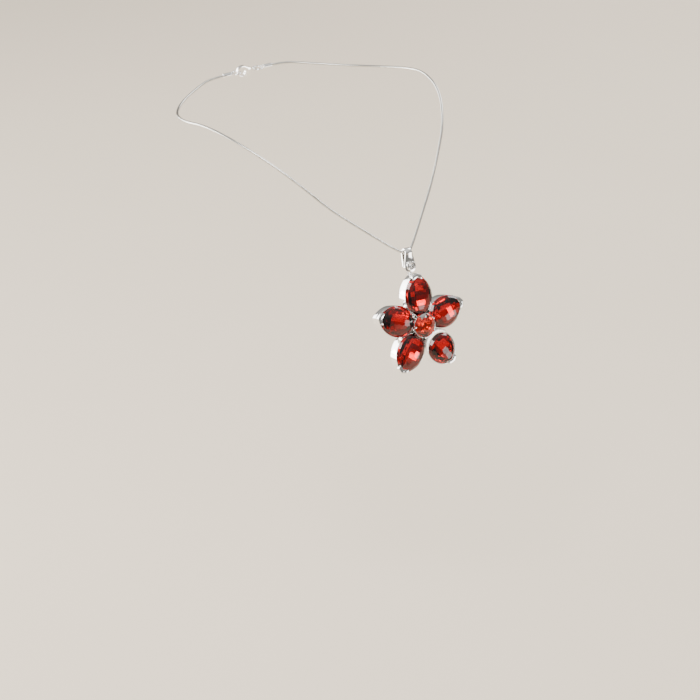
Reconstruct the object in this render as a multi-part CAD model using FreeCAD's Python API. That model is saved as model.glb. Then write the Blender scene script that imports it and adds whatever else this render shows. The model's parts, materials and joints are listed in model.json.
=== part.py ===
"""Pendant necklace: a snake chain with a lobster clasp, a jewelled bail and a five-petal crystal flower.

Millimetres. +Z is up, the wearer faces -Y, and the origin is on the chain's line at the nape of the neck.
The pendant is drawn in its own flat frame (x across, y up the chest, z out of it) and then leaned back.
"""

import FreeCAD, Part
import math
import os

V = FreeCAD.Vector

# Chain
CHAIN_R = 0.6
BAIL_POINT = V(0, -136.42, -42.23)
# Half of the route, from the middle of the bend in the bail to the end cap. The other half mirrors it.
HALF_ROUTE = [
    V(0, -136.6, -42.4),
    V(2.4, -135.9, -41.8),
    V(5.6, -133.5, -39.8),
    V(10.0, -129.9, -36.6),
    V(16.5, -124.7, -31.3),
    V(27.0, -116.2, -23.0),
    V(36.8, -107.5, -12.3),
    V(46.0, -98.0, -3.0),
    V(55.6, -81.0, 5.0),
    V(60.0, -62.0, 6.8),
    V(61.4, -46.0, 3.4),
    V(55.5, -28.0, -0.6),
    V(43.5, -12.5, -2.4),
    V(29.0, -3.2, -1.2),
    V(20.4, 0, 0),
    V(10.6, 0, 0),
]

# Pendant frame
LEAN = 19.0
GIRDLE_Z = 2.0
FLOWER_Y = -33.7

# Petals: an outline of four arcs, from its inner end past its widest place to its pointed tip
PETAL_TIP = 23.05
PETAL_HALF_WIDTH = 6.75
FULL_FORM = (4.6, 13.0)
SHORT_FORM = (7.65, 14.4)
SHOULDER_END = 11.0
PETAL_NAMES = ["top", "left", "lower_left", "lower_right", "right"]
SHORT_PETAL = "lower_right"
FLOWER_TURN = -3.4
WALL = 0.45
RIM_Z = 0.35
BACK_Z = -4.6
LEDGE = 0.8
GIRDLE_HALF = 0.3
CROWN_H = 2.0
CROWN_IN = 3.1
PAVILION_H = 3.1
PAVILION_IN = 5.2
CLAW_GROW = 0.85
CLAW_TOP = 1.15
CLAW_FOOT = -1.4
CLAW_FROM = 20.6
CLAW_HALF = 2.6
CLAW_BAND = 1.0

# Centre of the flower
CUP_R = 5.65
STONE_R = 5.25
STONE_TABLE_R = 3.1
STONE_CROWN_H = 1.5
STONE_CULET_R = 1.6
STONE_PAVILION_H = 2.0
STONE_GIRDLE_HALF = 0.15
CUP_HOLE_R = 2.2
STONE_Z = 2.6
CUP_BOTTOM = 1.2
CUP_TOP = 2.5
PRONG_ANGLES = (28, -40, -105, 175)
PRONG_AT_R = 5.35
PRONG_R = 0.42
PRONG_H = 1.1
CLAW_INNER_R = 3.7
SHOULDER_TOP = 1.6
POST_R = 3.4
PLATE_R = 6.5
PLATE_T = 0.6
ARM_LENGTH = 15.0
ARM_WIDTH = 2.2

# Bail
BAIL_TOP_R = 2.05
BAIL_SHEET = 0.7
BAIL_FOOT_Y = -5.7
BAIL_FOOT_R = 1.0
BAIL_LOBE_Y = -6.4
BAIL_LOBE_R = 2.9
BAIL_FLANK_X = 2.86
BAIL_FLANK_Y = -5.91
BAIL_FOOT_SHEET = 0.62
LIP_Z = 0.5
LIP_T = 0.7
LIP_H = 4.5
BAIL_NECK = 1.45
GEM_Y = -6.0
GEM_Z = 2.05
GEM_GIRDLE = 0.2
GEM_TABLE_R = 0.99
GEM_CROWN_H = 0.6
GEM_CULET_R = 0.4
GEM_PAVILION_H = 0.75
GEM_R = 1.65
BEZEL_R = 2.05
BEZEL_Z = 0.6
BEZEL_H = 1.55
GEM_PRONG_AT_R = 1.91
GEM_PRONG_R = 0.32
GEM_PRONG_Z = 0.9
GEM_PRONG_H = 1.85
EYE_Y = -7.3
EYE_Z = -0.3
EYE_MEAN = 0.72
EYE_WIRE = 0.22

# Link ring between bail and flower
LINK_TOP_Y = -7.45
LINK_MEAN = 1.3
LINK_WIRE = 0.3
LOOP_MEAN = 0.75
LOOP_WIRE = 0.25
LOOP_Y = -10.2

# Clasp, along X at the nape. EYE_X is the middle of each end cap's outer eye wire.
EYE_X = 7.425
CAP_R = 1.05
CAP_BORE = 0.65
CAP_LENGTH = 4.6
CAP_EYE_MEAN = 0.9
CAP_EYE_WIRE = 0.25
RING_MEAN = 2.1
RING_WIRE = 0.4
RING_BEHIND_EYE = 1.35
RING_TO_RING = 12.15
CLASP_BEHIND_EYE = 2.35
LEFT_RING_X = EYE_X - RING_BEHIND_EYE
RIGHT_RING_X = LEFT_RING_X - RING_TO_RING
CLASP_X = EYE_X - CLASP_BEHIND_EYE
CLASP_HALF = 0.8
HOOK_U = 8.0
HOOK_OUT = 3.0
HOOK_IN = 1.8
PIVOT_U = 6.16
PIVOT_V = -1.54
PIN_R = 0.3
PIN_PLAY = 0.04
SLOT_HALF = 0.4
LEVER_HALF = 0.34
SPRING_HALF = 0.3
BOSS_R = 0.66
LEVER_PRESS = 15
LEVER_STEPS = 5


def save(name, shape):
    """Writes one sub-part as one STEP file."""
    shape.exportStep("parts/" + name + ".step")


def cylinder(radius, start, axis, length):
    return Part.makeCylinder(radius, length, start, axis)


def ring(mean, wire, centre, axis):
    return Part.makeTorus(mean, wire, centre, axis)


def prism(wire, rise):
    return Part.Face(wire).extrude(rise)


def largest(shape):
    return max(shape.Solids, key=lambda s: s.Volume)


def polygon(points):
    return Part.makePolygon(points + [points[0]])


def to_pendant(shape):
    """Moves a shape from the pendant's flat frame to its place on the chest."""
    placed = shape.copy()
    chest = FreeCAD.Placement(BAIL_POINT, FreeCAD.Rotation(V(1, 0, 0), 90 - LEAN))
    placed.Placement = chest.multiply(shape.Placement)
    return placed


def in_flower(shape, angle=0.0):
    """Turns a shape about the flower's middle and carries it to the flower's place in the pendant frame."""
    turned = shape.copy()
    turned.rotate(V(0, 0, 0), V(0, 0, 1), angle)
    turned.translate(V(0, FLOWER_Y, GIRDLE_Z))
    return turned


# Chain ------------------------------------------------------------------------------------------------------

def full_route():
    mirrored = [V(-p.x, p.y, p.z) for p in reversed(HALF_ROUTE[1:])]
    return mirrored + HALF_ROUTE


def rounded_path(points):
    """Straight runs joined by tangent arcs, each as large as its two runs allow, and the arcs' radii."""
    edges = []
    radii = []
    here = points[0]
    for before, corner, after in zip(points, points[1:], points[2:]):
        back = (before - corner).normalize()
        ahead = (after - corner).normalize()
        half_turn = (math.pi - back.getAngle(ahead)) / 2
        reach = 0.45 * min(before.distanceToPoint(corner), corner.distanceToPoint(after))
        radius = reach / math.tan(half_turn)
        middle = (back + ahead).normalize()
        start = corner + back * reach
        end = corner + ahead * reach
        top = corner + middle * (radius / math.cos(half_turn) - radius)
        edges.append(Part.LineSegment(here, start).toShape())
        edges.append(Part.Arc(start, top, end).toShape())
        radii.append(radius)
        here = end
    edges.append(Part.LineSegment(here, points[-1]).toShape())
    return Part.Wire(edges), radii


def snake_chain():
    points = full_route()
    path, radii = rounded_path(points)
    along = points[1] - points[0]
    section = Part.Wire([Part.makeCircle(CHAIN_R, points[0], along)])
    tube = path.makePipeShell([section], True, False)
    print("chain length %.1f mm" % path.Length)
    print("chain radii " + " ".join("%.1f" % r for r in radii))
    plain = math.pi * CHAIN_R**2 * path.Length
    print("chain volume over section times length %.4f" % (tube.Volume / plain))
    return tube


def end_cap(side):
    """A crimped cup with its eye. side is 1 on the wearer's left and -1 on the right."""
    across = V(side, 0, 0)
    eye_middle = EYE_X + CAP_EYE_MEAN
    floor_x = eye_middle + CAP_EYE_MEAN - CAP_EYE_WIRE
    cup = cylinder(CAP_R, V(side * floor_x, 0, 0), across, CAP_LENGTH)
    cup = cup.makeFillet(0.25, [cup.Edges[0], cup.Edges[2]])
    bore = cylinder(CAP_BORE, V(side * HALF_ROUTE[-1].x, 0, 0), across, CAP_LENGTH)
    eye = ring(CAP_EYE_MEAN, CAP_EYE_WIRE, V(side * eye_middle, 0, 0), V(0, 1, 0))
    return cup.fuse(eye).cut(bore)


# Clasp ------------------------------------------------------------------------------------------------------

def clasp_point(u, v, y=0.0):
    """A point of the clasp: u runs from its eye towards its hook, v upwards."""
    return V(CLASP_X - u, y, v)


def clasp_slab(points, half):
    outline = polygon([clasp_point(u, v, -half) for u, v in points])
    return prism(outline, V(0, 2 * half, 0))


def clasp_disc(u, v, radius, half):
    return cylinder(radius, clasp_point(u, v, -half), V(0, 1, 0), 2 * half)


def claw_sector(inner, outer, half, start, stop):
    """A sector of the hook's ring between two angles, in degrees from the u axis towards v."""
    band = clasp_disc(HOOK_U, 0, outer, half).cut(clasp_disc(HOOK_U, 0, inner, half))
    reach = 2 * HOOK_OUT
    steps = [start + (stop - start) * i / 4 for i in range(5)]
    fan = [(HOOK_U, 0)]
    fan += [(HOOK_U + reach * math.cos(math.radians(a)), reach * math.sin(math.radians(a))) for a in steps]
    return band.common(clasp_slab(fan, half))


def clasp_body():
    hook = claw_sector(HOOK_IN, HOOK_OUT, CLASP_HALF, -24, 176)
    shank = clasp_slab(
        [(2.0, -0.5), (2.0, 0.6), (4.0, 1.5), (6.3, 2.4), (6.5, 1.0), (6.2, 0), (6.5, -0.9),
         (7.0, -1.5), (6.9, -2.2), (5.6, -2.3), (3.9, -1.5)], CLASP_HALF)
    body = hook.fuse(shank)
    body = body.fuse(ring(1.0, 0.3, clasp_point(1.3, 0), V(0, 1, 0)))
    slot = clasp_slab([(4.4, -0.55), (7.6, -0.55), (7.6, -2.8), (4.4, -2.8)], SLOT_HALF)
    body = body.cut(slot).cut(lever_sweep())
    return largest(body.cut(clasp_disc(PIVOT_U, PIVOT_V, PIN_R, CLASP_HALF)))


def lever_shape(half):
    gate = claw_sector(HOOK_IN + 0.2, HOOK_OUT - 0.1, half, -120, -28)
    boss = clasp_disc(PIVOT_U, PIVOT_V, BOSS_R, half)
    arm = clasp_slab([(6.1, -2.15), (6.5, -1.1), (7.1, -1.8), (6.9, -2.6)], half)
    thumb = clasp_slab([(5.7, -1.9), (5.0, -2.9), (5.6, -3.1), (6.5, -2.2)], half)
    return gate.fuse(boss).fuse(arm).fuse(thumb)


def lever_sweep():
    """The room the lever needs in the body, from shut to fully pressed."""
    room = clasp_disc(PIVOT_U, PIVOT_V, BOSS_R + 0.05, SLOT_HALF)
    for step in range(LEVER_STEPS + 1):
        turned = lever_shape(SLOT_HALF)
        turned.rotate(clasp_point(PIVOT_U, PIVOT_V), V(0, 1, 0), LEVER_PRESS * step / LEVER_STEPS)
        room = room.fuse(turned)
    return room


def clasp_lever():
    return lever_shape(LEVER_HALF).cut(clasp_disc(PIVOT_U, PIVOT_V, PIN_R + PIN_PLAY, LEVER_HALF))


def lever_pin():
    return clasp_disc(PIVOT_U, PIVOT_V, PIN_R, CLASP_HALF)


def clasp_spring():
    """A bent leaf in the body's slot that presses the lever shut."""
    leaf = [(4.45, -0.6), (6.7, -0.6), (6.7, -0.75), (4.75, -0.75), (4.75, -1.5), (4.45, -1.5)]
    return clasp_slab(leaf, SPRING_HALF)


# Pendant: bail ----------------------------------------------------------------------------------------------

def teardrop_profile(top_r, foot_r, half_width):
    """A slab across the bail whose side outline is two circles joined by their outer tangents."""
    lean = math.asin((top_r - foot_r) / -BAIL_FOOT_Y)
    c = math.cos(lean)
    s = math.sin(lean)
    slab = cylinder(top_r, V(-half_width, 0, 0), V(1, 0, 0), 2 * half_width)
    foot = cylinder(foot_r, V(-half_width, BAIL_FOOT_Y, 0), V(1, 0, 0), 2 * half_width)
    sides = [(-s * top_r, c * top_r), (BAIL_FOOT_Y - s * foot_r, c * foot_r),
             (BAIL_FOOT_Y - s * foot_r, -c * foot_r), (-s * top_r, -c * top_r)]
    middle = prism(polygon([V(-half_width, y, z) for y, z in sides]), V(2 * half_width, 0, 0))
    return slab.fuse(foot).fuse(middle)


def bail_outline():
    """The bail's front outline: a neck that widens into a round lobe."""
    lobe = cylinder(BAIL_LOBE_R, V(0, BAIL_LOBE_Y, -4), V(0, 0, 1), 8)
    flank = polygon([V(-BAIL_NECK, BAIL_TOP_R, -4), V(BAIL_NECK, BAIL_TOP_R, -4),
                     V(BAIL_FLANK_X, BAIL_FLANK_Y, -4), V(-BAIL_FLANK_X, BAIL_FLANK_Y, -4)])
    return lobe.fuse(prism(flank, V(0, 0, 8)))


def bail_body():
    outer = teardrop_profile(BAIL_TOP_R, BAIL_FOOT_R, 4)
    lip = Part.makeBox(8, LIP_H, LIP_T, V(-4, BAIL_LOBE_Y - BAIL_LOBE_R - 0.1, LIP_Z))
    inner = teardrop_profile(BAIL_TOP_R - BAIL_SHEET, BAIL_FOOT_R - BAIL_FOOT_SHEET, 5)
    return outer.fuse(lip).common(bail_outline()).cut(inner)


def bail_eye():
    eye = ring(EYE_MEAN, EYE_WIRE, V(0, EYE_Y, EYE_Z), V(1, 0, 0))
    return eye.cut(bail_body())


def bail_gem():
    girdle = cylinder(GEM_R, V(0, GEM_Y, GEM_Z), V(0, 0, 1), GEM_GIRDLE)
    crown = Part.makeCone(GEM_R, GEM_TABLE_R, GEM_CROWN_H, V(0, GEM_Y, GEM_Z + GEM_GIRDLE), V(0, 0, 1))
    culet = V(0, GEM_Y, GEM_Z - GEM_PAVILION_H)
    pavilion = Part.makeCone(GEM_CULET_R, GEM_R, GEM_PAVILION_H, culet, V(0, 0, 1))
    return girdle.fuse(crown).fuse(pavilion)


def bail_bezel():
    cup = cylinder(BEZEL_R, V(0, GEM_Y, BEZEL_Z), V(0, 0, 1), BEZEL_H)
    return largest(cup.cut(bail_body()).cut(bail_gem()))


def bail_prongs():
    prongs = []
    for k in range(4):
        angle = math.radians(45 + 90 * k)
        foot = V(GEM_PRONG_AT_R * math.cos(angle), GEM_Y + GEM_PRONG_AT_R * math.sin(angle), GEM_PRONG_Z)
        prong = cylinder(GEM_PRONG_R, foot, V(0, 0, 1), GEM_PRONG_H)
        prongs.append(prong.cut(bail_bezel()).cut(bail_gem()).cut(bail_body()))
    return Part.makeCompound([largest(p) for p in prongs])


# Pendant: flower --------------------------------------------------------------------------------------------

def petal_wire(form, grow, z):
    """A petal's outline at height z, grown outwards by grow, of four arcs from an end to the widest place."""
    inner, widest = form
    edges = []
    for side in (1, -1):
        for end in (inner, PETAL_TIP):
            run = end - widest
            own_radius = (run**2 + PETAL_HALF_WIDTH**2) / (2 * PETAL_HALF_WIDTH)
            radius = own_radius + grow
            middle_v = PETAL_HALF_WIDTH - own_radius
            reach = math.copysign(math.sqrt(radius**2 - middle_v**2), run)
            swing = math.atan2(reach, -middle_v) / 2
            halfway = V(widest + radius * math.sin(swing), side * (middle_v + radius * math.cos(swing)), z)
            end = V(widest + reach, 0, z)
            broadest = V(widest, side * (middle_v + radius), z)
            edges.append(Part.Arc(end, halfway, broadest).toShape())
    return Part.Wire(Part.__sortEdges__([edges[0], edges[1], edges[3], edges[2]]))


def petal_prism(form, grow, low, high):
    return prism(petal_wire(form, grow, low), V(0, 0, high - low))


def petal_form(name):
    return SHORT_FORM if name == SHORT_PETAL else FULL_FORM


def petal_crystal(form):
    girdle = petal_prism(form, 0, -GIRDLE_HALF, GIRDLE_HALF)
    crown = Part.makeLoft([petal_wire(form, 0, GIRDLE_HALF),
                           petal_wire(form, -CROWN_IN, GIRDLE_HALF + CROWN_H)], True, True)
    pavilion = Part.makeLoft([petal_wire(form, -PAVILION_IN, -GIRDLE_HALF - PAVILION_H),
                              petal_wire(form, 0, -GIRDLE_HALF)], True, True)
    return girdle.fuse(crown).fuse(pavilion)


def shoulder(low, high):
    """The inner end of a full petal's outline, which the short petal's setting keeps as solid metal."""
    return petal_prism(FULL_FORM, WALL, low, high).common(Part.makeBox(SHOULDER_END, 20, 12, V(0, -10, -6)))


def petal_setting(form):
    """A tall polished wall with a ledge that the crystal rests on, open at the back."""
    wall = petal_prism(form, WALL, BACK_Z, RIM_Z)
    if form == SHORT_FORM:
        wall = wall.fuse(shoulder(BACK_Z, RIM_Z))
    wall = wall.cut(petal_prism(form, -LEDGE, BACK_Z, RIM_Z))
    wall = wall.cut(petal_prism(form, 0, -GIRDLE_HALF, RIM_Z))
    return wall.cut(petal_crystal(form))


def tip_claw(form):
    """A V-shaped claw round the petal's tip and over the edge of its crystal."""
    shell = petal_prism(form, CLAW_GROW, CLAW_FOOT, CLAW_TOP)
    shell = shell.common(Part.makeBox(8, 2 * CLAW_HALF, 8, V(CLAW_FROM, -CLAW_HALF, -4)))
    shell = shell.cut(petal_prism(form, -CLAW_BAND, CLAW_FOOT, CLAW_TOP))
    shell = shell.cut(petal_prism(form, WALL, CLAW_FOOT, RIM_Z))
    return shell.cut(petal_crystal(form))


def centre_stone():
    low = STONE_Z - STONE_GIRDLE_HALF
    high = STONE_Z + STONE_GIRDLE_HALF
    girdle = cylinder(STONE_R, V(0, 0, low), V(0, 0, 1), high - low)
    crown = Part.makeCone(STONE_R, STONE_TABLE_R, STONE_CROWN_H, V(0, 0, high), V(0, 0, 1))
    culet = V(0, 0, low - STONE_PAVILION_H)
    pavilion = Part.makeCone(STONE_CULET_R, STONE_R, STONE_PAVILION_H, culet, V(0, 0, 1))
    return girdle.fuse(crown).fuse(pavilion)


def centre_cup(crystals):
    cup = cylinder(CUP_R, V(0, 0, CUP_BOTTOM), V(0, 0, 1), CUP_TOP - CUP_BOTTOM)
    cup = cup.cut(centre_stone())
    cup = cup.cut(cylinder(CUP_HOLE_R, V(0, 0, 0), V(0, 0, 1), CUP_TOP))
    for crystal in crystals:
        cup = cup.cut(crystal)
    return cup


def centre_prongs(cup):
    """Four bead prongs and one broad claw on the upper side."""
    prongs = []
    for angle in PRONG_ANGLES:
        at = math.radians(angle)
        foot = V(PRONG_AT_R * math.cos(at), PRONG_AT_R * math.sin(at), CUP_TOP - 0.1)
        prongs.append(cylinder(PRONG_R, foot, V(0, 0, 1), PRONG_H))
    claw = cylinder(CUP_R, V(0, 0, CUP_TOP - 0.1), V(0, 0, 1), 1.35)
    claw = claw.cut(cylinder(CLAW_INNER_R, V(0, 0, CUP_BOTTOM), V(0, 0, 1), 4))
    wedge = polygon([V(0, 0, 0), V(-3.4, 7, 0), V(1.4, 7, 0)])
    prongs.append(claw.common(prism(wedge, V(0, 0, 6))))
    trimmed = [p.cut(cup).cut(centre_stone()) for p in prongs]
    return Part.makeCompound([largest(p) for p in trimmed])


def centre_post(settings):
    post = cylinder(POST_R, V(0, 0, BACK_Z), V(0, 0, 1), CUP_BOTTOM - BACK_Z).cut(centre_stone())
    for setting in settings:
        post = post.cut(setting)
    return post


def shoulder_plate(cup):
    """The polished plate between the centre cup and the short petal's crystal."""
    plate = shoulder(RIM_Z, SHOULDER_TOP)
    plate = plate.cut(petal_prism(SHORT_FORM, 0, RIM_Z, SHOULDER_TOP))
    plate = plate.cut(cup).cut(cylinder(CUP_R, V(0, 0, 0), V(0, 0, 1), CUP_BOTTOM))
    return largest(plate)


def back_frame():
    frame = cylinder(PLATE_R, V(0, 0, BACK_Z - PLATE_T), V(0, 0, 1), PLATE_T)
    for k in range(len(PETAL_NAMES)):
        arm = Part.makeBox(ARM_LENGTH, ARM_WIDTH, PLATE_T, V(0, -ARM_WIDTH / 2, BACK_Z - PLATE_T))
        arm.rotate(V(0, 0, 0), V(0, 0, 1), petal_angle(k))
        tip = cylinder(ARM_WIDTH / 2, V(ARM_LENGTH, 0, BACK_Z - PLATE_T), V(0, 0, 1), PLATE_T)
        tip.rotate(V(0, 0, 0), V(0, 0, 1), petal_angle(k))
        frame = frame.fuse(arm).fuse(tip)
    return frame.removeSplitter()


def petal_angle(k):
    return 90 + FLOWER_TURN + 72 * k


def save_flower():
    crystals = []
    settings = []
    claws = []
    for k, name in enumerate(PETAL_NAMES):
        form = petal_form(name)
        makers = ((petal_crystal, crystals, "crystal"), (petal_setting, settings, "setting"))
        for part, shapes, label in makers:
            shape = part(form)
            shape.rotate(V(0, 0, 0), V(0, 0, 1), petal_angle(k))
            shapes.append(shape)
            save("petal_%s_%s" % (label, name), to_pendant(in_flower(shape)))
        claw = in_flower(tip_claw(form), petal_angle(k))
        claws.append(claw)
        save("tip_claw_" + name, to_pendant(claw))
    cup = centre_cup(crystals)
    short = PETAL_NAMES.index(SHORT_PETAL)
    save("centre_cup", to_pendant(in_flower(cup)))
    save("centre_stone", to_pendant(in_flower(centre_stone())))
    save("centre_prongs", to_pendant(in_flower(centre_prongs(cup))))
    save("centre_post", to_pendant(in_flower(centre_post(settings))))
    save("shoulder_plate", to_pendant(in_flower(shoulder_plate(cup), petal_angle(short))))
    save("back_frame", to_pendant(in_flower(back_frame())))
    loop = ring(LOOP_MEAN, LOOP_WIRE, V(0, LOOP_Y, EYE_Z), V(1, 0, 0))
    save("flower_loop", to_pendant(largest(loop.cut(in_flower(settings[0])).cut(claws[0]))))


def save_bail():
    save("bail_body", to_pendant(bail_body()))
    save("bail_eye", to_pendant(bail_eye()))
    save("bail_bezel", to_pendant(bail_bezel()))
    save("bail_prongs", to_pendant(bail_prongs()))
    save("bail_crystal", to_pendant(bail_gem()))
    link = ring(LINK_MEAN, LINK_WIRE, V(0, LINK_TOP_Y - LINK_MEAN, EYE_Z), V(0, 0, 1))
    save("link_ring", to_pendant(link))


def save_clasp():
    save("end_cap_left", end_cap(1))
    save("end_cap_right", end_cap(-1))
    save("jump_ring_left", ring(RING_MEAN, RING_WIRE, V(LEFT_RING_X, 0, 0), V(0, 0, 1)))
    save("jump_ring_right", ring(RING_MEAN, RING_WIRE, V(RIGHT_RING_X, 0, 0), V(0, 0, 1)))
    save("clasp_body", clasp_body())
    save("clasp_lever", clasp_lever())
    save("lever_pin", lever_pin())
    save("clasp_spring", clasp_spring())


os.makedirs("parts", exist_ok=True)
save("snake_chain", snake_chain())
save_clasp()
save_bail()
save_flower()
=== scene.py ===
"""Pendant necklace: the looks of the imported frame.

Places in the world are in metres. The pendant's shapes are worked out in its own flat frame, in
millimetres.
"""
import json
import math
import bmesh
import bpy
from mathutils import Matrix, Vector


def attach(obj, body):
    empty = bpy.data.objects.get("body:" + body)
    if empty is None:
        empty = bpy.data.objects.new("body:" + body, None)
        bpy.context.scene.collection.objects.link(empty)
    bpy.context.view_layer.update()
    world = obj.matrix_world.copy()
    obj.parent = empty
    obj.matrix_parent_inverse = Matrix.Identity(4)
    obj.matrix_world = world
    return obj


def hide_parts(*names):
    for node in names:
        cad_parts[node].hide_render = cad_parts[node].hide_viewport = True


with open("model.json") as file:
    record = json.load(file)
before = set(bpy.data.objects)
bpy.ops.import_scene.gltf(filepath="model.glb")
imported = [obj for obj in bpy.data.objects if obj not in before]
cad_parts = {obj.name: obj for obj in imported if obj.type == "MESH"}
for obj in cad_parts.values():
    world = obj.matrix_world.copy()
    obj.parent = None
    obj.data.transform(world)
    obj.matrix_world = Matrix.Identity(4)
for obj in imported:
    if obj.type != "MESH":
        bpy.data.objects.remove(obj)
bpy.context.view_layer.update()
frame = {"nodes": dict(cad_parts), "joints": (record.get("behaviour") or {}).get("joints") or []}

MM = 0.001
JOINTS = {joint["name"]: joint for joint in frame["joints"]}

# The pendant's flat frame: x across, y up the chest, z out of it, from the middle of the bail's
# chain opening
NORMAL = Vector(JOINTS["flower_sway"]["axis"]).normalized()
BAIL_POINT = Vector(JOINTS["bail_swing"]["pos_m"])
ACROSS = Vector((1, 0, 0))
UP_CHEST = NORMAL.cross(ACROSS)
CHEST_AXES = Matrix((ACROSS, UP_CHEST, NORMAL)).transposed().to_4x4()
CHEST = Matrix.Translation(BAIL_POINT) @ CHEST_AXES @ Matrix.Scale(MM, 4)

# The flower's frame: its middle, at the height of the petals' girdles
FLOWER_Y = -33.7
GIRDLE_Z = 2.0
FLOWER = CHEST @ Matrix.Translation((0, FLOWER_Y, GIRDLE_Z))

# Petals, as in the frame: a form is (inner end, widest place) along the petal
PETALS = ["top", "left", "lower_left", "lower_right", "right"]
SHORT_PETAL = "lower_right"
PETAL_TIP = 23.05
PETAL_HALF_WIDTH = 6.75
FULL_FORM = (4.6, 13.0)
SHORT_FORM = (7.65, 14.4)
FIRST_PETAL_TURN = 90
PETAL_STEP = 72
FLOWER_TURN = -3.4

# The crystals reach this far past the petal's outline
CRYSTAL_GROW = 0.27
SHORT_GROW = 0.04

# Walls round the full petals
WALL = 0.45
RIM_Z = 0.35
BACK_Z = -4.6
WALL_LIP = 0.14
WALL_FOOT_CUT = 0.1
WALL_STEPS = 24
WALL_SMOOTH = 35

# Facets of the petals' crystals. A slope is a normal's rise or fall for each unit outwards
PETAL_BLOCK = 60
GIRDLE_HALF = 0.3
GIRDLE_FACETS = 32
GIRDLE_PROBE = 0.01
CROWN_SLOPE = 1.05
PAVILION_SLOPE = -1.15
LATTICE_SHIFT = 0.4
DOME_US = (-7.5, -4.5, -1.5, 1.5, 4.5, 7.5)
DOME_VS = (-5.4, -2.7, 0, 2.7, 5.4)
DOME_TOP = 2.25
DOME_CURVE_U = 0.017
DOME_CURVE_V = 0.030
BAR_US = (-7.2, -5.2, -3.2, -1.1, 1.1, 3.2, 5.2, 7.2)
BAR_ROWS = ((1.0, 0.36, 3.15), (3.3, 0.56, 2.55), (5.4, 0.85, 1.4))  # (v, sideways slope, depth)
BAR_DROP = 0.2
BAR_CURVE = 0.030
BAR_LEAN = 0.06
BAR_RIPPLE = 0.11

# Round stones
CENTRE_Z = 2.6
CENTRE_BLOCK = 30
CENTRE_FOIL_BELOW = -0.1
CENTRE_STONE = {"radius": 5.25, "girdle": 0.15, "crown_h": 1.5, "pavilion_h": 2.0,
                "count": 10, "table": 0.36}
GEM_PLACE = (0, -6.0, 2.15)
GEM_BLOCK = 10
GEM_FOIL_BELOW = -0.05
GEM_STONE = {"radius": 1.65, "girdle": 0.1, "crown_h": 0.6, "pavilion_h": 0.75,
             "count": 8, "table": 0.5}
FOIL_FACING = -0.05  # a face takes the foil if its normal's z is below this

# Shoulder plate: its top, above the foot, falls away from the start
PLATE_FOOT_Z = 1.3
PLATE_START = 4.5
PLATE_SLOPE = 0.17

# Polished edges of the copied CAD nodes
EDGE = 0.07
BROAD_EDGE = 0.12
EDGE_ANGLE = 28
EDGE_SEGMENTS = 2
FLAT_ANGLE = 0.8
MERGE_M = 2e-6
POLISHED_SMOOTH = 38

# Chain
CHAIN_R = 0.6
RING_PITCH = 0.62
RING_STEPS = 5
RING_SIDES = 20
RING_WAVE = 0.28
GROOVE_SHARE = 0.14
GROOVE_POWER = 0.5
CHAIN_SMOOTH = 60
LINE_RESOLUTION = 24
HALF_ROUTE = [
    (0, -136.6, -42.4), (2.4, -135.9, -41.8), (5.6, -133.5, -39.8), (10.0, -129.9, -36.6),
    (16.5, -124.7, -31.3), (27.0, -116.2, -23.0), (36.8, -107.5, -12.3), (46.0, -98.0, -3.0),
    (55.6, -81.0, 5.0), (60.0, -62.0, 6.8), (61.4, -46.0, 3.4), (55.5, -28.0, -0.6),
    (43.5, -12.5, -2.4), (29.0, -3.2, -1.2), (20.4, 0, 0), (10.6, 0, 0),
]

# Studio
FLOOR_Z = -0.25
FLOOR_SIZE = 6
WIDE_SPREAD = 180
CARD_SPREAD = 110
WHOLE = (0, -0.1, -0.05)
PENDANT = (0, -0.15, -0.07)
PLATE = (0, -0.15, -0.08)
LIGHTS = [  # name, place, aimed at, size, watts, colour, spread in degrees
    ("key", (-0.7, -0.9, 1.2), WHOLE, (0.9, 0.7), 34, (1.0, 0.985, 0.96), WIDE_SPREAD),
    ("plate_card", (0.6, -0.9, -0.19), PLATE, (0.3, 0.3), 0.55, (1.0, 0.99, 0.97), CARD_SPREAD),
    ("side", (1.1, 0.3, 0.7), WHOLE, (0.5, 0.9), 12, (0.97, 0.98, 1.0), WIDE_SPREAD),
    ("low_card", (-0.42, 0.22, -0.2), PENDANT, (0.34, 0.34), 1.4, (1.0, 0.99, 0.96), CARD_SPREAD),
    ("back_card", (-0.5, 0.7, 0.1), PENDANT, (0.9, 0.6), 5.5, (1.0, 0.99, 0.96), CARD_SPREAD),
]
ROOM = (((0.26, 0.25, 0.235), 0.12), ((1.0, 0.985, 0.95), 0.85))  # (colour, height) low, high

# Camera: above the front, on the wearer's right, with a long lens
AZIMUTH = math.radians(-33)
ELEVATION = math.radians(27)
DISTANCE = 1.3
FRAME_WIDTH = 0.315
FLOWER_OFFSET = (0.0323, 0.0111)
SENSOR_WIDTH = 36


# Materials ------------------------------------------------------------------------------------

def new_material(name):
    """A node material and its Principled shader."""
    material = bpy.data.materials.new(name)
    material.use_nodes = True
    return material, material.node_tree.nodes["Principled BSDF"]


def link(material, start, end):
    material.node_tree.links.new(start, end)


def noise(material, scale, detail, stretch=(1, 1, 1)):
    """Noise over the piece's own coordinates."""
    nodes = material.node_tree.nodes
    place = nodes.new("ShaderNodeTexCoord")
    shape = nodes.new("ShaderNodeMapping")
    shape.inputs["Scale"].default_value = stretch
    texture = nodes.new("ShaderNodeTexNoise")
    texture.inputs["Scale"].default_value = scale
    texture.inputs["Detail"].default_value = detail
    link(material, place.outputs["Object"], shape.inputs["Vector"])
    link(material, shape.outputs["Vector"], texture.inputs["Vector"])
    return texture.outputs["Fac"]


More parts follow.
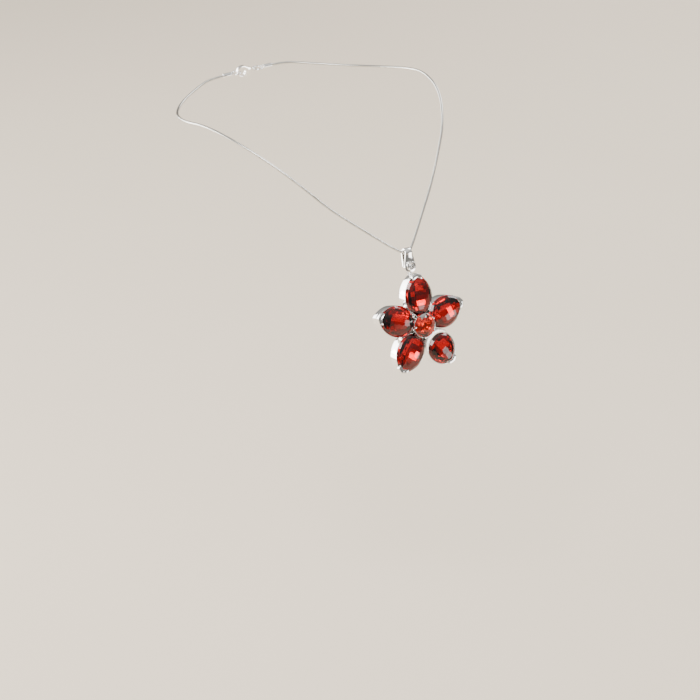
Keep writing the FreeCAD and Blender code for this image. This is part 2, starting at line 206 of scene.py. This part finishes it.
def clouded(material, shader, source, first, second):
    """Lets the base colour drift from first to second with source."""
    node = material.node_tree.nodes.new("ShaderNodeMix")
    node.data_type = "RGBA"
    node.inputs["A"].default_value = (*first, 1)
    node.inputs["B"].default_value = (*second, 1)
    link(material, source, node.inputs["Factor"])
    link(material, node.outputs["Result"], shader.inputs["Base Color"])


def glossed(material, shader, source, low, high):
    """Lets the roughness drift from low to high over the middle of source."""
    node = material.node_tree.nodes.new("ShaderNodeMapRange")
    node.inputs["From Min"].default_value = 0.3
    node.inputs["From Max"].default_value = 0.7
    node.inputs["To Min"].default_value = low
    node.inputs["To Max"].default_value = high
    link(material, source, node.inputs["Value"])
    link(material, node.outputs["Result"], shader.inputs["Roughness"])


def bumped(material, shader, source, strength, distance):
    """Raises the surface with source."""
    node = material.node_tree.nodes.new("ShaderNodeBump")
    node.inputs["Strength"].default_value = strength
    node.inputs["Distance"].default_value = distance
    link(material, source, node.inputs["Height"])
    link(material, node.outputs["Normal"], shader.inputs["Normal"])


def polished_metal(name, first, second, low, high, grain):
    """Polished plate with faint wear: clouded colour, uneven gloss and a fine polishing grain."""
    material, shader = new_material(name)
    shader.inputs["Metallic"].default_value = 1.0
    clouded(material, shader, noise(material, scale=900, detail=3), first, second)
    glossed(material, shader, noise(material, scale=1600, detail=5), low, high)
    fine = noise(material, scale=5000, detail=2, stretch=(1, 6, 1))
    bumped(material, shader, fine, strength=grain, distance=0.00002)
    return material


def crystal(name, tint):
    """Clear-cut crystal: coloured glass that passes light in and out of its cut faces."""
    material, shader = new_material(name)
    shader.inputs["Transmission Weight"].default_value = 1.0
    shader.inputs["IOR"].default_value = 1.54
    deeper = tuple(0.86 * c for c in tint)
    clouded(material, shader, noise(material, scale=260, detail=2), tint, deeper)
    glossed(material, shader, noise(material, scale=2500, detail=3), low=0.0, high=0.01)
    return material


def foil(name, first, second):
    """The mirror foil behind a crystal's lower faces."""
    material, shader = new_material(name)
    shader.inputs["Metallic"].default_value = 1.0
    clouded(material, shader, noise(material, scale=420, detail=2), first, second)
    glossed(material, shader, noise(material, scale=2200, detail=3), low=0.03, high=0.09)
    return material


def floor_material():
    """Plain pale paper."""
    material, shader = new_material("floor_paper")
    clouded(material, shader, noise(material, scale=6, detail=4), (0.82, 0.70, 0.55),
            (0.86, 0.74, 0.59))
    shader.inputs["Roughness"].default_value = 0.85
    bumped(material, shader, noise(material, scale=400, detail=3), strength=0.08, distance=0.0004)
    return material


RHODIUM = polished_metal("rhodium_plate", (0.90, 0.895, 0.89), (0.97, 0.965, 0.955),
                         low=0.03, high=0.09, grain=0.05)
CHAIN_METAL = polished_metal("snake_chain_plate", (0.52, 0.505, 0.47), (0.74, 0.725, 0.69),
                             low=0.10, high=0.2, grain=0.08)
SATIN = polished_metal("satin_plate", (0.93, 0.925, 0.915), (0.98, 0.975, 0.965),
                       low=0.2, high=0.3, grain=0.1)
SPRING_STEEL = polished_metal("spring_steel", (0.45, 0.45, 0.46), (0.6, 0.6, 0.61),
                              low=0.25, high=0.4, grain=0.2)
RED = crystal("red_crystal", (0.44, 0.0008, 0.001))
RED_FOIL = foil("red_foil", (0.78, 0.045, 0.025), (0.92, 0.11, 0.05))
CENTRE_RED = crystal("orange_red_crystal", (0.74, 0.022, 0.0015))
CENTRE_FOIL = foil("orange_foil", (1.0, 0.30, 0.06), (1.0, 0.62, 0.2))
CLEAR = crystal("clear_crystal", (0.96, 0.97, 0.98))
CLEAR_FOIL = foil("silver_foil", (0.88, 0.9, 0.92), (0.97, 0.97, 0.98))


# Meshes ---------------------------------------------------------------------------------------

def add_piece(name, mesh, body, materials, node):
    """Puts a mesh in the scene as a piece that rides on a body and stands for a CAD node."""
    piece = bpy.data.objects.new(name, mesh)
    bpy.context.scene.collection.objects.link(piece)
    for material in materials:
        mesh.materials.append(material)
    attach(piece, body)
    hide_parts(node)
    return piece


def mesh_from(bm, name, place=None, smooth_angle=None):
    """A mesh with its faces turned outwards. It is flat-shaded if it has no smooth_angle."""
    if place is not None:
        bm.transform(place)
    bm.normal_update()
    bmesh.ops.recalc_face_normals(bm, faces=bm.faces)
    if bm.calc_volume(signed=True) < 0:
        bmesh.ops.reverse_faces(bm, faces=bm.faces)
    mesh = bpy.data.meshes.new(name)
    bm.to_mesh(mesh)
    bm.free()
    if smooth_angle is not None:
        mesh.polygons.foreach_set("use_smooth", [True] * len(mesh.polygons))
        mesh.set_sharp_from_angle(angle=math.radians(smooth_angle))
    return mesh


def band_faces(bm, rings, closed):
    """Fills between rings of as many vertices each, and back to the first ring if closed."""
    following_rings = rings[1:] + rings[:1] if closed else rings[1:]
    for ring, following in zip(rings, following_rings):
        for j in range(len(ring)):
            n = (j + 1) % len(ring)
            bm.faces.new((ring[j], following[j], following[n], ring[n]))


def polished_copy(node, body, material, edge=EDGE, reshape=None):
    """A copy of a CAD node with its sharp edges rounded, as polishing leaves them."""
    bm = bmesh.new()
    bm.from_mesh(frame["nodes"][node].data)
    bmesh.ops.remove_doubles(bm, verts=bm.verts, dist=MERGE_M)
    bmesh.ops.dissolve_limit(bm, angle_limit=math.radians(FLAT_ANGLE), verts=bm.verts,
                             edges=bm.edges)
    if reshape is not None:
        reshape(bm)
    sharp = [e for e in bm.edges
             if len(e.link_faces) == 2 and e.calc_face_angle() > math.radians(EDGE_ANGLE)]
    bmesh.ops.bevel(bm, geom=sharp, offset=edge * MM, segments=EDGE_SEGMENTS, profile=0.5,
                    affect="EDGES", clamp_overlap=True)
    bmesh.ops.triangulate(bm, faces=[f for f in bm.faces if len(f.verts) > 4])
    mesh = mesh_from(bm, node + "_polished", None, POLISHED_SMOOTH)
    return add_piece(node + "_polished", mesh, body, [material], node)


# Stones ---------------------------------------------------------------------------------------

def tilted(out, rise):
    """A facet's normal: out, raised by rise."""
    return (out + Vector((0, 0, rise))).normalized()


def add_stone(name, node, body, materials, planes, block, place, foil_below):
    """Adds a stone cut from a block by (point, outward normal) planes.

    Its faces that look down and lie below foil_below take the second material.
    """
    bm = bmesh.new()
    bmesh.ops.create_cube(bm, size=block)
    for point, normal in planes:
        cut = bmesh.ops.bisect_plane(bm, geom=bm.verts[:] + bm.edges[:] + bm.faces[:], dist=1e-6,
                                     plane_co=point, plane_no=normal, clear_outer=True)
        edges = [e for e in cut["geom_cut"] if isinstance(e, bmesh.types.BMEdge)]
        if edges:
            bmesh.ops.edgenet_fill(bm, edges=edges)
    bmesh.ops.recalc_face_normals(bm, faces=bm.faces)
    for face in bm.faces:
        face.smooth = False
        low = face.calc_center_median().z < foil_below and face.normal.z < FOIL_FACING
        face.material_index = 1 if low else 0
    add_piece(name, mesh_from(bm, name, place), body, materials, node)


def petal_point(form, grow, turn):
    """A point of a petal's outline, grown by grow.

    turn goes once round from the tip, from 0 to 4, a quarter for each of the four arcs.
    """
    inner, widest = form
    quarter = int(turn) % 4
    part = turn - int(turn)
    outer = quarter in (0, 3)
    side = 1 if quarter < 2 else -1
    run = (PETAL_TIP if outer else inner) - widest
    own_radius = (run**2 + PETAL_HALF_WIDTH**2) / (2 * PETAL_HALF_WIDTH)
    radius = own_radius + grow
    middle_v = PETAL_HALF_WIDTH - own_radius
    reach = math.copysign(math.sqrt(max(radius**2 - middle_v**2, 0)), run)
    full = math.atan2(reach, -middle_v)
    swing = full * (1 - part if quarter in (0, 2) else part)
    return widest + radius * math.sin(swing), side * (middle_v + radius * math.cos(swing))


def dome_planes(centre):
    """Crown facets that touch a dome at a lattice of points, every other row shifted by half."""
    planes = []
    for row, v in enumerate(DOME_VS):
        for u in DOME_US:
            shifted = u + (DOME_US[1] - DOME_US[0]) / 2 * (row % 2)
            z = DOME_TOP - DOME_CURVE_U * shifted**2 - DOME_CURVE_V * v**2
            normal = Vector((2 * DOME_CURVE_U * shifted, 2 * DOME_CURVE_V * v, 1)).normalized()
            planes.append((Vector((centre + shifted, v, z)), normal))
    return planes


def bar_planes(centre):
    """Long pavilion facets in rows on both sides, each leaning the other way from the last."""
    planes = []
    for side in (-1, 1):
        for v, slope, depth in BAR_ROWS:
            for i, u in enumerate(BAR_US):
                lean = BAR_LEAN * u + (BAR_RIPPLE if i % 2 else -BAR_RIPPLE)
                z = -(depth + BAR_DROP - BAR_CURVE * u * u)
                normal = Vector((lean, side * slope, -1)).normalized()
                planes.append((Vector((centre + u, side * v, z)), normal))
    return planes


def petal_planes(form, grow):
    """Girdle, crown and pavilion facets of one petal's stone."""
    planes = []
    for i in range(GIRDLE_FACETS):
        turn = (i + 0.5) * 4 / GIRDLE_FACETS
        u, v = petal_point(form, grow, turn)
        after = Vector((*petal_point(form, 0, turn + GIRDLE_PROBE), 0))
        before = Vector((*petal_point(form, 0, turn - GIRDLE_PROBE), 0))
        ahead = after - before
        out = Vector((ahead.y, -ahead.x, 0)).normalized()
        if out.dot(Vector((u - form[1], v, 0))) < 0:
            out.negate()
        planes.append((Vector((u, v, 0)), out))
        planes.append((Vector((u, v, GIRDLE_HALF)), tilted(out, CROWN_SLOPE)))
        if i % 2:
            planes.append((Vector((u, v, -GIRDLE_HALF)), tilted(out, PAVILION_SLOPE)))
    centre = form[1] + LATTICE_SHIFT
    return planes + dome_planes(centre) + bar_planes(centre)


def brilliant_planes(radius, girdle, crown_h, pavilion_h, count, table):
    """A round brilliant: a small table, three rings of crown facets and two of pavilion facets."""
    planes = [(Vector((0, 0, girdle + crown_h)), Vector((0, 0, 1)))]
    planes.append((Vector((0, 0, -girdle - pavilion_h)), Vector((0, 0, -1))))
    for i in range(count * 2):
        angle = math.pi * i / count
        out = Vector((math.cos(angle), math.sin(angle), 0))
        rim = out * radius
        main = i % 2 == 0
        planes.append((rim, out))
        planes.append((rim + Vector((0, 0, girdle)), tilted(out, 0.85 if main else 1.05)))
        if main:
            kite = out * radius * (table + 1) / 2 + Vector((0, 0, girdle + 0.62 * crown_h))
            planes.append((kite, tilted(out * 0.55, 1)))
        else:
            star = out * radius * table + Vector((0, 0, girdle + crown_h))
            planes.append((star, tilted(out * 0.30, 1)))
        planes.append((rim + Vector((0, 0, -girdle)), tilted(out, -1.12 if main else -0.9)))
        if not main:
            low = out * radius * 0.5 + Vector((0, 0, -girdle - 0.75 * pavilion_h))
            planes.append((low, tilted(out * 0.6, -1)))
    return planes


# Chain ----------------------------------------------------------------------------------------

def chain_path():
    """Points along the chain's line, read from a NURBS curve through the route's control points."""
    mirrored = [(-x, y, z) for x, y, z in reversed(HALF_ROUTE[1:])]
    route = [Vector(p) * MM for p in mirrored + HALF_ROUTE]
    curve = bpy.data.curves.new("chain_line", "CURVE")
    curve.dimensions = "3D"
    curve.resolution_u = LINE_RESOLUTION
    spline = curve.splines.new("NURBS")
    spline.points.add(len(route) - 1)
    for point, place in zip(spline.points, route):
        point.co = (*place, 1)
    spline.order_u = 3
    spline.use_endpoint_u = True
    holder = bpy.data.objects.new("chain_line", curve)
    bpy.context.scene.collection.objects.link(holder)
    line = bpy.data.meshes.new_from_object(holder)
    points = [v.co.copy() for v in line.vertices]
    bpy.data.objects.remove(holder)
    return points


def resampled(points, step):
    """Points at an even step along a line of points, and the line's length."""
    marks = [0.0]
    for a, b in zip(points, points[1:]):
        marks.append(marks[-1] + (b - a).length)
    count = round(marks[-1] / step)
    found = []
    i = 0
    for n in range(count + 1):
        want = marks[-1] * n / count
        while i < len(marks) - 2 and marks[i + 1] < want:
            i += 1
        share = (want - marks[i]) / (marks[i + 1] - marks[i])
        found.append(points[i].lerp(points[i + 1], share))
    return found, marks[-1]


def snake_chain():
    """Thin waved plates, one beside the next, that make a smooth round chain."""
    centres, length = resampled(chain_path(), RING_PITCH / RING_STEPS * MM)
    bm = bmesh.new()
    rings = []
    side = Vector((0, 0, 1))
    for i, centre in enumerate(centres):
        ahead = (centres[min(i + 1, len(centres) - 1)] - centres[max(i - 1, 0)]).normalized()
        side = (side - ahead * side.dot(ahead)).normalized()
        across = ahead.cross(side)
        ring = []
        for j in range(RING_SIDES):
            around = 2 * math.pi * j / RING_SIDES
            phase = i / RING_STEPS + RING_WAVE * math.sin(2 * around)
            groove = abs(math.sin(math.pi * phase)) ** GROOVE_POWER
            radius = CHAIN_R * (1 - GROOVE_SHARE + GROOVE_SHARE * groove) * MM
            out = side * math.cos(around) + across * math.sin(around)
            ring.append(bm.verts.new(centre + out * radius))
        rings.append(ring)
    band_faces(bm, rings, closed=False)
    bm.faces.new(rings[0])
    bm.faces.new(rings[-1])
    mesh = mesh_from(bm, "snake_chain_plates", None, CHAIN_SMOOTH)
    piece = add_piece("snake_chain_plates", mesh, "chain", [CHAIN_METAL], "snake_chain")


# Pendant and clasp ----------------------------------------------------------------------------

def petal_turn(k):
    return math.radians(FIRST_PETAL_TURN + FLOWER_TURN + PETAL_STEP * k)


def wall_profile():
    """The loop of (grow, height) of a crystal's wall, with its upper edges rounded.

    The wall is thinner than two lips, so the two roundings overlap along its top.
    """
    loop = [(CRYSTAL_GROW, BACK_Z), (WALL - WALL_FOOT_CUT, BACK_Z), (WALL, BACK_Z + WALL_FOOT_CUT)]
    for middle, start in ((WALL - WALL_LIP, 0), (CRYSTAL_GROW + WALL_LIP, 90)):
        for i in range(4):
            angle = math.radians(start + 30 * i)
            height = RIM_Z - WALL_LIP + WALL_LIP * math.sin(angle)
            loop.append((middle + WALL_LIP * math.cos(angle), height))
    return loop


def add_wall(name, node, form, place):
    """Adds a wall: its cross-section swept round the petal's outline."""
    profile = wall_profile()
    bm = bmesh.new()
    rings = []
    for i in range(4 * WALL_STEPS):
        turn = i / WALL_STEPS
        rings.append([bm.verts.new((*petal_point(form, grow, turn), height))
                      for grow, height in profile])
    band_faces(bm, rings, closed=True)
    add_piece(name, mesh_from(bm, name, place, WALL_SMOOTH), "flower", [RHODIUM], node)


def slope_plate(bm):
    """Lets the shoulder plate's top fall away from the centre stone towards the short petal."""
    turn = petal_turn(PETALS.index(SHORT_PETAL))
    away = Matrix.Rotation(turn, 3, "Z") @ Vector((1, 0, 0))
    inverse = FLOWER.inverted()
    for vertex in bm.verts:
        place = inverse @ vertex.co
        if place.z > PLATE_FOOT_Z:
            place.z -= PLATE_SLOPE * max(place.dot(away) - PLATE_START, 0)
            vertex.co = FLOWER @ place


def flower():
    for k, name in enumerate(PETALS):
        short = name == SHORT_PETAL
        form, grow = (SHORT_FORM, SHORT_GROW) if short else (FULL_FORM, CRYSTAL_GROW)
        place = FLOWER @ Matrix.Rotation(petal_turn(k), 4, "Z")
        add_stone("petal_stone_" + name, "petal_crystal_" + name, "flower", [RED, RED_FOIL],
                  petal_planes(form, grow), PETAL_BLOCK, place, foil_below=0)
        if short:
            polished_copy("petal_setting_" + name, "flower", RHODIUM)
        else:
            add_wall("petal_wall_" + name, "petal_setting_" + name, form, place)
        polished_copy("tip_claw_" + name, "flower", RHODIUM, BROAD_EDGE)
    centre = FLOWER @ Matrix.Translation((0, 0, CENTRE_Z))
    add_stone("centre_brilliant", "centre_stone", "flower", [CENTRE_RED, CENTRE_FOIL],
              brilliant_planes(**CENTRE_STONE), CENTRE_BLOCK, centre, CENTRE_FOIL_BELOW)
    for node in ("centre_cup", "centre_prongs", "centre_post", "back_frame"):
        polished_copy(node, "flower", RHODIUM)
    polished_copy("shoulder_plate", "flower", SATIN, reshape=slope_plate)


def bail():
    gem = CHEST @ Matrix.Translation(GEM_PLACE)
    add_stone("bail_brilliant", "bail_crystal", "bail", [CLEAR, CLEAR_FOIL],
              brilliant_planes(**GEM_STONE), GEM_BLOCK, gem, GEM_FOIL_BELOW)
    for node in ("bail_body", "bail_bezel", "bail_prongs"):
        polished_copy(node, "bail", RHODIUM)


def clasp():
    for node, body in (("clasp_body", "clasp"), ("clasp_lever", "lever"),
                       ("end_cap_left", "chain"), ("end_cap_right", "chain")):
        polished_copy(node, body, RHODIUM, BROAD_EDGE)


def finish_cad_nodes():
    """Gives every CAD node its metal. Pieces that replace a node carry their own materials."""
    for name, node in frame["nodes"].items():
        node.data.materials.clear()
        node.data.materials.append(SPRING_STEEL if name == "clasp_spring" else RHODIUM)


# Studio and camera ----------------------------------------------------------------------------

def soft_light(name, place, aim, size, power, colour, spread):
    """A rectangular light at place that faces aim."""
    data = bpy.data.lights.new(name, "AREA")
    data.shape = "RECTANGLE"
    data.size, data.size_y = size
    data.energy = power
    data.color = colour
    data.spread = math.radians(spread)
    lamp = bpy.data.objects.new(name, data)
    lamp.location = place
    lamp.rotation_euler = (Vector(aim) - Vector(place)).to_track_quat("-Z", "Y").to_euler()
    bpy.context.scene.collection.objects.link(lamp)


def room():
    """Light from all round, dim below and bright above."""
    world = bpy.data.worlds.new("studio")
    world.use_nodes = True
    nodes = world.node_tree.nodes
    place = nodes.new("ShaderNodeTexCoord")
    parts = nodes.new("ShaderNodeSeparateXYZ")
    ramp = nodes.new("ShaderNodeValToRGB")
    for element, (colour, height) in zip(ramp.color_ramp.elements, ROOM):
        element.color = (*colour, 1)
        element.position = height
    world.node_tree.links.new(place.outputs["Generated"], parts.inputs["Vector"])
    world.node_tree.links.new(parts.outputs["Z"], ramp.inputs["Fac"])
    world.node_tree.links.new(ramp.outputs["Color"], nodes["Background"].inputs["Color"])
    nodes["Background"].inputs["Strength"].default_value = 1.0
    bpy.context.scene.world = world


def studio():
    bpy.ops.mesh.primitive_plane_add(size=FLOOR_SIZE, location=(0, 0, FLOOR_Z))
    ground = bpy.context.object
    ground.name = "floor"
    ground.data.materials.append(floor_material())
    for light in LIGHTS:
        soft_light(*light)
    room()


def camera():
    right = Vector((math.cos(AZIMUTH), math.sin(AZIMUTH), 0))
    towards = Vector((math.sin(AZIMUTH) * math.cos(ELEVATION),
                      -math.cos(AZIMUTH) * math.cos(ELEVATION), math.sin(ELEVATION)))
    up = towards.cross(right)
    flower_centre = FLOWER @ Vector((0, 0, 0))
    aim = flower_centre - right * FLOWER_OFFSET[0] - up * FLOWER_OFFSET[1]
    data = bpy.data.cameras.new("camera")
    data.sensor_width = SENSOR_WIDTH
    data.lens = DISTANCE / FRAME_WIDTH * data.sensor_width
    eye = bpy.data.objects.new("camera", data)
    facing = Matrix((right, up, towards)).transposed().to_4x4()
    eye.matrix_world = Matrix.Translation(aim + towards * DISTANCE) @ facing
    bpy.context.scene.collection.objects.link(eye)
    bpy.context.scene.camera = eye


finish_cad_nodes()
snake_chain()
flower()
bail()
clasp()
studio()
camera()
